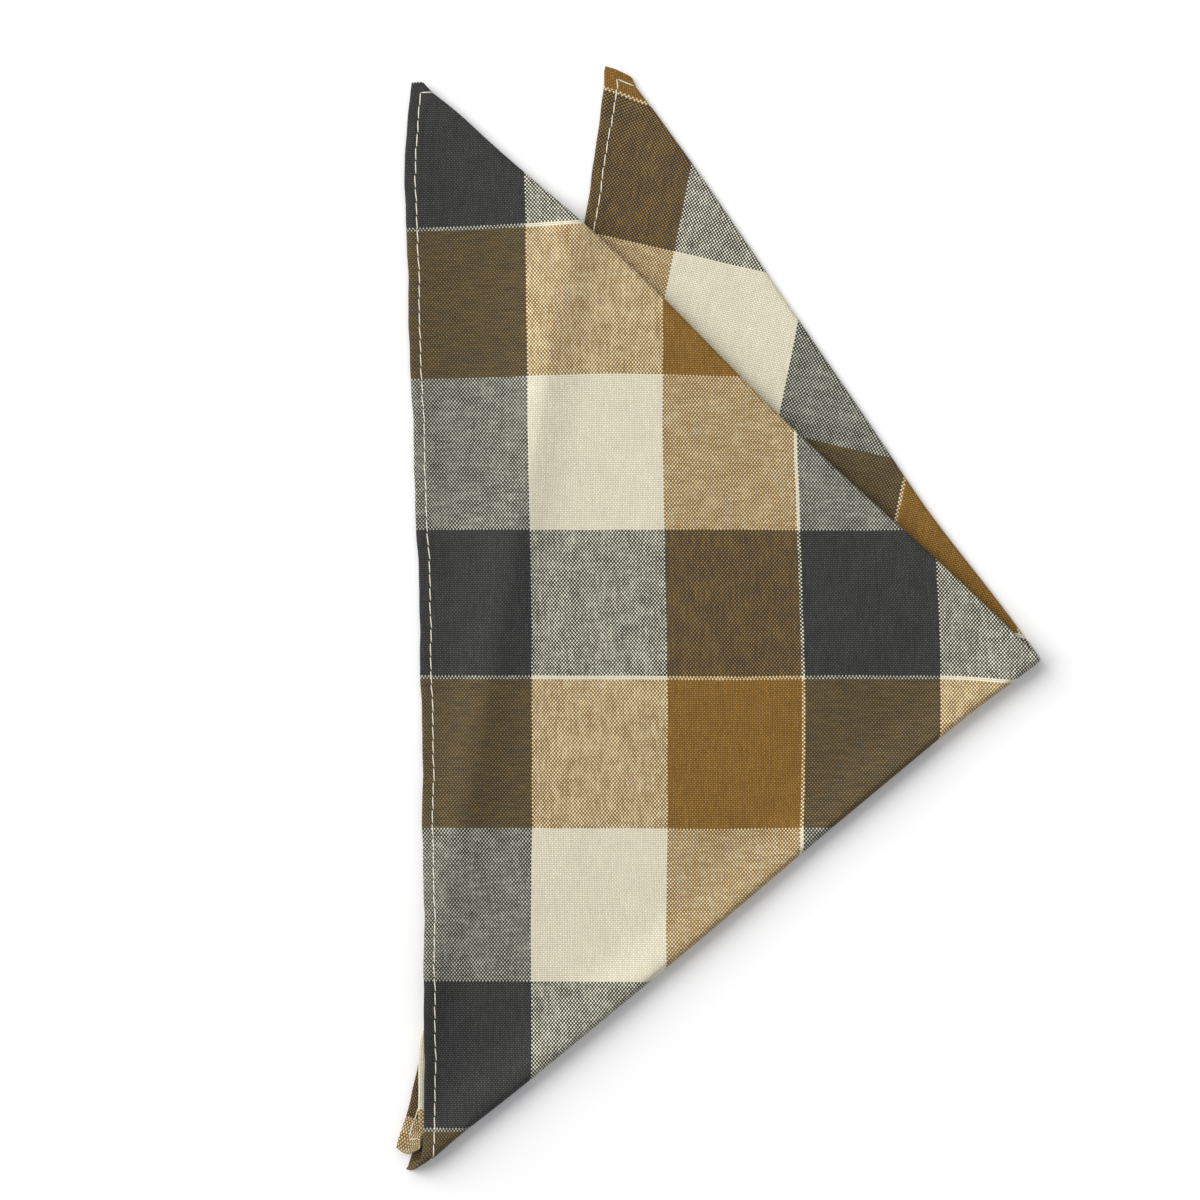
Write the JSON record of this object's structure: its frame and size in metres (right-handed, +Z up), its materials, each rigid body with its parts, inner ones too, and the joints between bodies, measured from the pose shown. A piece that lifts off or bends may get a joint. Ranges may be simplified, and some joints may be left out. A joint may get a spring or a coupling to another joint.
{
  "type": "folded cotton handkerchief",
  "caption": "Square checked cotton handkerchief with narrow stitched hems, folded corner to corner and then in half, lying flat.",
  "frame": {"origin": "centre of the folded pile's outline, at the surface it rests on", "axes": "+Z up out of the surface, +Y along the long open side towards the two upper tips, +X towards the folded point"},
  "size_m": [0.1718, 0.2949, 0.0073],
  "materials": {
    "cotton": "matte plain weave, yarn-dyed check"
  },
  "bodies": {
    "root": {"handkerchief": "cotton"}
  },
  "joints": []
}
